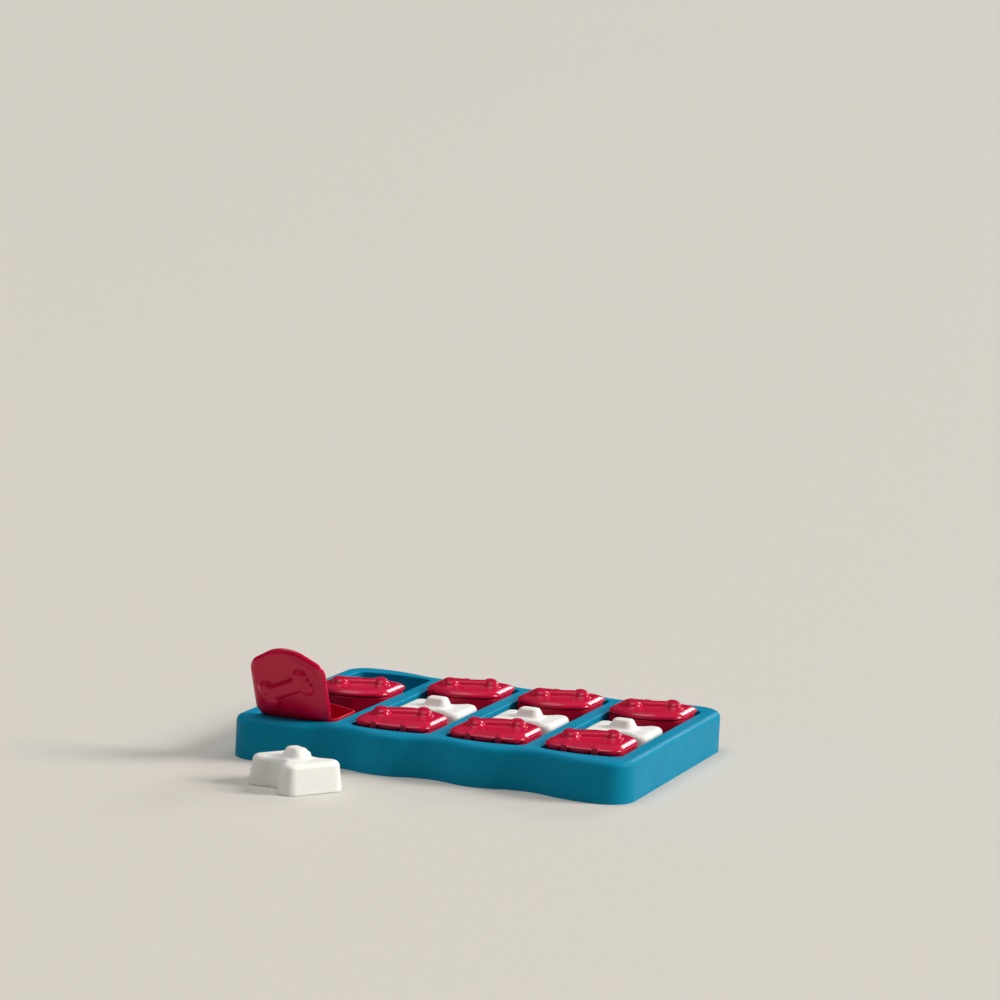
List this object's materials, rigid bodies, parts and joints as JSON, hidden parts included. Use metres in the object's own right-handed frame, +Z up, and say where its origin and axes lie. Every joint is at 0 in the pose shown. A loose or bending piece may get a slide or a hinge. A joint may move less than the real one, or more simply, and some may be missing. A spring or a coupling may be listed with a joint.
{
  "type": "sliding treat puzzle feeder for dogs",
  "caption": "Tray puzzle feeder for dogs: treat boxes with hinged lids slide along channels, and hollow bone-shaped plugs lift out of the middle of each channel.",
  "frame": {"origin": "middle of the tray's underside, on the plane of the floor", "axes": "+X to the right along the row of channels, +Y along the channels from front to back, +Z up"},
  "size_m": [0.32, 0.3637, 0.0907],
  "materials": {
    "tray_teal": "satin",
    "box_red": "satin",
    "lid_red": "gloss",
    "bone_white": "satin"
  },
  "bodies": {
    "tray": {"tray": "tray_teal"},
    "slider_box_front_1": {"slider_box_front_1": "box_red"},
    "lid_front_1": {"lid_front_1": "lid_red"},
    "slider_box_back_1": {"slider_box_back_1": "box_red"},
    "lid_back_1": {"lid_back_1": "lid_red"},
    "bone_plug_1": {"bone_plug_1": "bone_white"},
    "slider_box_front_2": {"slider_box_front_2": "box_red"},
    "lid_front_2": {"lid_front_2": "lid_red"},
    "slider_box_back_2": {"slider_box_back_2": "box_red"},
    "lid_back_2": {"lid_back_2": "lid_red"},
    "bone_plug_2": {"bone_plug_2": "bone_white"},
    "slider_box_front_3": {"slider_box_front_3": "box_red"},
    "lid_front_3": {"lid_front_3": "lid_red"},
    "slider_box_back_3": {"slider_box_back_3": "box_red"},
    "lid_back_3": {"lid_back_3": "lid_red"},
    "bone_plug_3": {"bone_plug_3": "bone_white"},
    "slider_box_front_4": {"slider_box_front_4": "box_red"},
    "lid_front_4": {"lid_front_4": "lid_red"},
    "slider_box_back_4": {"slider_box_back_4": "box_red"},
    "lid_back_4": {"lid_back_4": "lid_red"},
    "bone_plug_4": {"bone_plug_4": "bone_white"}
  },
  "joints": [
    {"name": "slider_box_front_1_slide", "type": "slide", "parent": "tray", "child": "slider_box_front_1", "axis": [0, 1, 0], "range_m": [0, 0.0289]},
    {"name": "lid_front_1_hinge", "type": "hinge", "parent": "slider_box_front_1", "child": "lid_front_1", "pos_m": [-0.1146, -0.1033, 0.0319], "axis": [1, 0, 0], "range_deg": [-115, 0]},
    {"name": "slider_box_back_1_slide", "type": "slide", "parent": "tray", "child": "slider_box_back_1", "axis": [0, 1, 0], "range_m": [-0.0289, 0.046]},
    {"name": "lid_back_1_hinge", "type": "hinge", "parent": "slider_box_back_1", "child": "lid_back_1", "pos_m": [-0.1146, 0.0573, 0.0319], "axis": [-1, 0, 0], "range_deg": [0, 115]},
    {"name": "bone_plug_1_lift", "type": "slide", "parent": "tray", "child": "bone_plug_1", "axis": [0, 0, 1], "range_m": [0, 0.045]},
    {"name": "slider_box_front_2_slide", "type": "slide", "parent": "tray", "child": "slider_box_front_2", "axis": [0, 1, 0], "range_m": [0, 0.0155]},
    {"name": "lid_front_2_hinge", "type": "hinge", "parent": "slider_box_front_2", "child": "lid_front_2", "pos_m": [-0.0382, -0.1033, 0.0319], "axis": [1, 0, 0], "range_deg": [0, 115]},
    {"name": "slider_box_back_2_slide", "type": "slide", "parent": "tray", "child": "slider_box_back_2", "axis": [0, -1, 0], "range_m": [0, 0.0155]},
    {"name": "lid_back_2_hinge", "type": "hinge", "parent": "slider_box_back_2", "child": "lid_back_2", "pos_m": [-0.0382, 0.1033, 0.0319], "axis": [-1, 0, 0], "range_deg": [0, 115]},
    {"name": "bone_plug_2_lift", "type": "slide", "parent": "tray", "child": "bone_plug_2", "axis": [0, 0, 1], "range_m": [0, 0.045]},
    {"name": "slider_box_front_3_slide", "type": "slide", "parent": "tray", "child": "slider_box_front_3", "axis": [0, 1, 0], "range_m": [0, 0.0155]},
    {"name": "lid_front_3_hinge", "type": "hinge", "parent": "slider_box_front_3", "child": "lid_front_3", "pos_m": [0.0382, -0.1033, 0.0319], "axis": [1, 0, 0], "range_deg": [0, 115]},
    {"name": "slider_box_back_3_slide", "type": "slide", "parent": "tray", "child": "slider_box_back_3", "axis": [0, -1, 0], "range_m": [0, 0.0155]},
    {"name": "lid_back_3_hinge", "type": "hinge", "parent": "slider_box_back_3", "child": "lid_back_3", "pos_m": [0.0382, 0.1033, 0.0319], "axis": [-1, 0, 0], "range_deg": [0, 115]},
    {"name": "bone_plug_3_lift", "type": "slide", "parent": "tray", "child": "bone_plug_3", "axis": [0, 0, 1], "range_m": [0, 0.045]},
    {"name": "slider_box_front_4_slide", "type": "slide", "parent": "tray", "child": "slider_box_front_4", "axis": [0, 1, 0], "range_m": [0, 0.0155]},
    {"name": "lid_front_4_hinge", "type": "hinge", "parent": "slider_box_front_4", "child": "lid_front_4", "pos_m": [0.1146, -0.1033, 0.0319], "axis": [1, 0, 0], "range_deg": [0, 115]},
    {"name": "slider_box_back_4_slide", "type": "slide", "parent": "tray", "child": "slider_box_back_4", "axis": [0, -1, 0], "range_m": [0, 0.0155]},
    {"name": "lid_back_4_hinge", "type": "hinge", "parent": "slider_box_back_4", "child": "lid_back_4", "pos_m": [0.1146, 0.1033, 0.0319], "axis": [-1, 0, 0], "range_deg": [0, 115]},
    {"name": "bone_plug_4_lift", "type": "slide", "parent": "tray", "child": "bone_plug_4", "axis": [0, 0, 1], "range_m": [0, 0.045]}
  ]
}
